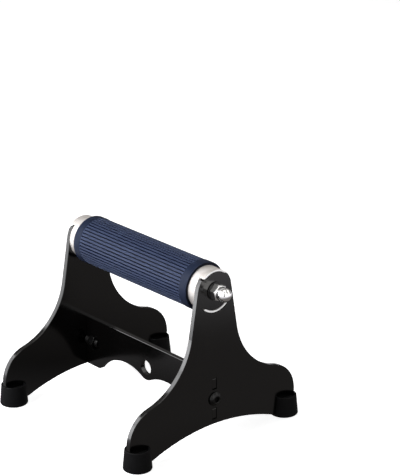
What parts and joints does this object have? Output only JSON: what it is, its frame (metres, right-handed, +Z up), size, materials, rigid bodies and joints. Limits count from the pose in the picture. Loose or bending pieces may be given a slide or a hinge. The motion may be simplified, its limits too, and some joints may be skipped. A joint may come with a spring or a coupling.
{
  "type": "parallette bar",
  "caption": "Low push-up parallette: a ribbed navy rubber grip on a steel tube between arched black side plates, tied by a crossplate and rod, standing on tapered rubber feet.",
  "frame": {"origin": "on the floor, under the middle of the bar", "axes": "+X along the bar to the right end, +Y to the back, +Z up"},
  "size_m": [0.211, 0.1894, 0.1576],
  "materials": {
    "plate_black": "gloss black coating with a fine orange-peel",
    "tube_steel": "brushed round the tube",
    "grip_rubber": "satin moulded navy rubber",
    "rod_steel": "zinc plated",
    "nut_chrome": "polished",
    "nut_steel": "zinc plated",
    "fastener_black": "black oxide",
    "foot_rubber": "matte moulded black rubber"
  },
  "bodies": {
    "frame": {"crossplate": "plate_black", "handle_tube": "tube_steel", "grip_sleeve": "grip_rubber", "tie_rod": "rod_steel", "left_side_plate": "plate_black", "left_flat_washer": "fastener_black", "left_captive_nut": "nut_steel", "left_front_foot": "foot_rubber", "left_back_foot": "foot_rubber", "right_side_plate": "plate_black", "right_flat_washer": "fastener_black", "right_captive_nut": "nut_steel", "right_front_foot": "foot_rubber", "right_back_foot": "foot_rubber"},
    "left_nut": {"left_cap_nut": "nut_chrome"},
    "left_screw": {"left_crossplate_screw": "fastener_black"},
    "right_nut": {"right_cap_nut": "nut_chrome"},
    "right_screw": {"right_crossplate_screw": "fastener_black"}
  },
  "joints": [
    {"name": "left_nut_turn", "type": "hinge", "parent": "frame", "child": "left_nut", "pos_m": [-0.0887, 0, 0.1363], "axis": [-1, 0, 0], "continuous": true},
    {"name": "left_screw_turn", "type": "hinge", "parent": "frame", "child": "left_screw", "pos_m": [-0.0877, 0, 0.03875], "axis": [-1, 0, 0], "continuous": true},
    {"name": "right_nut_turn", "type": "hinge", "parent": "frame", "child": "right_nut", "pos_m": [0.0887, 0, 0.1363], "axis": [1, 0, 0], "continuous": true},
    {"name": "right_screw_turn", "type": "hinge", "parent": "frame", "child": "right_screw", "pos_m": [0.0877, 0, 0.03875], "axis": [1, 0, 0], "continuous": true}
  ]
}
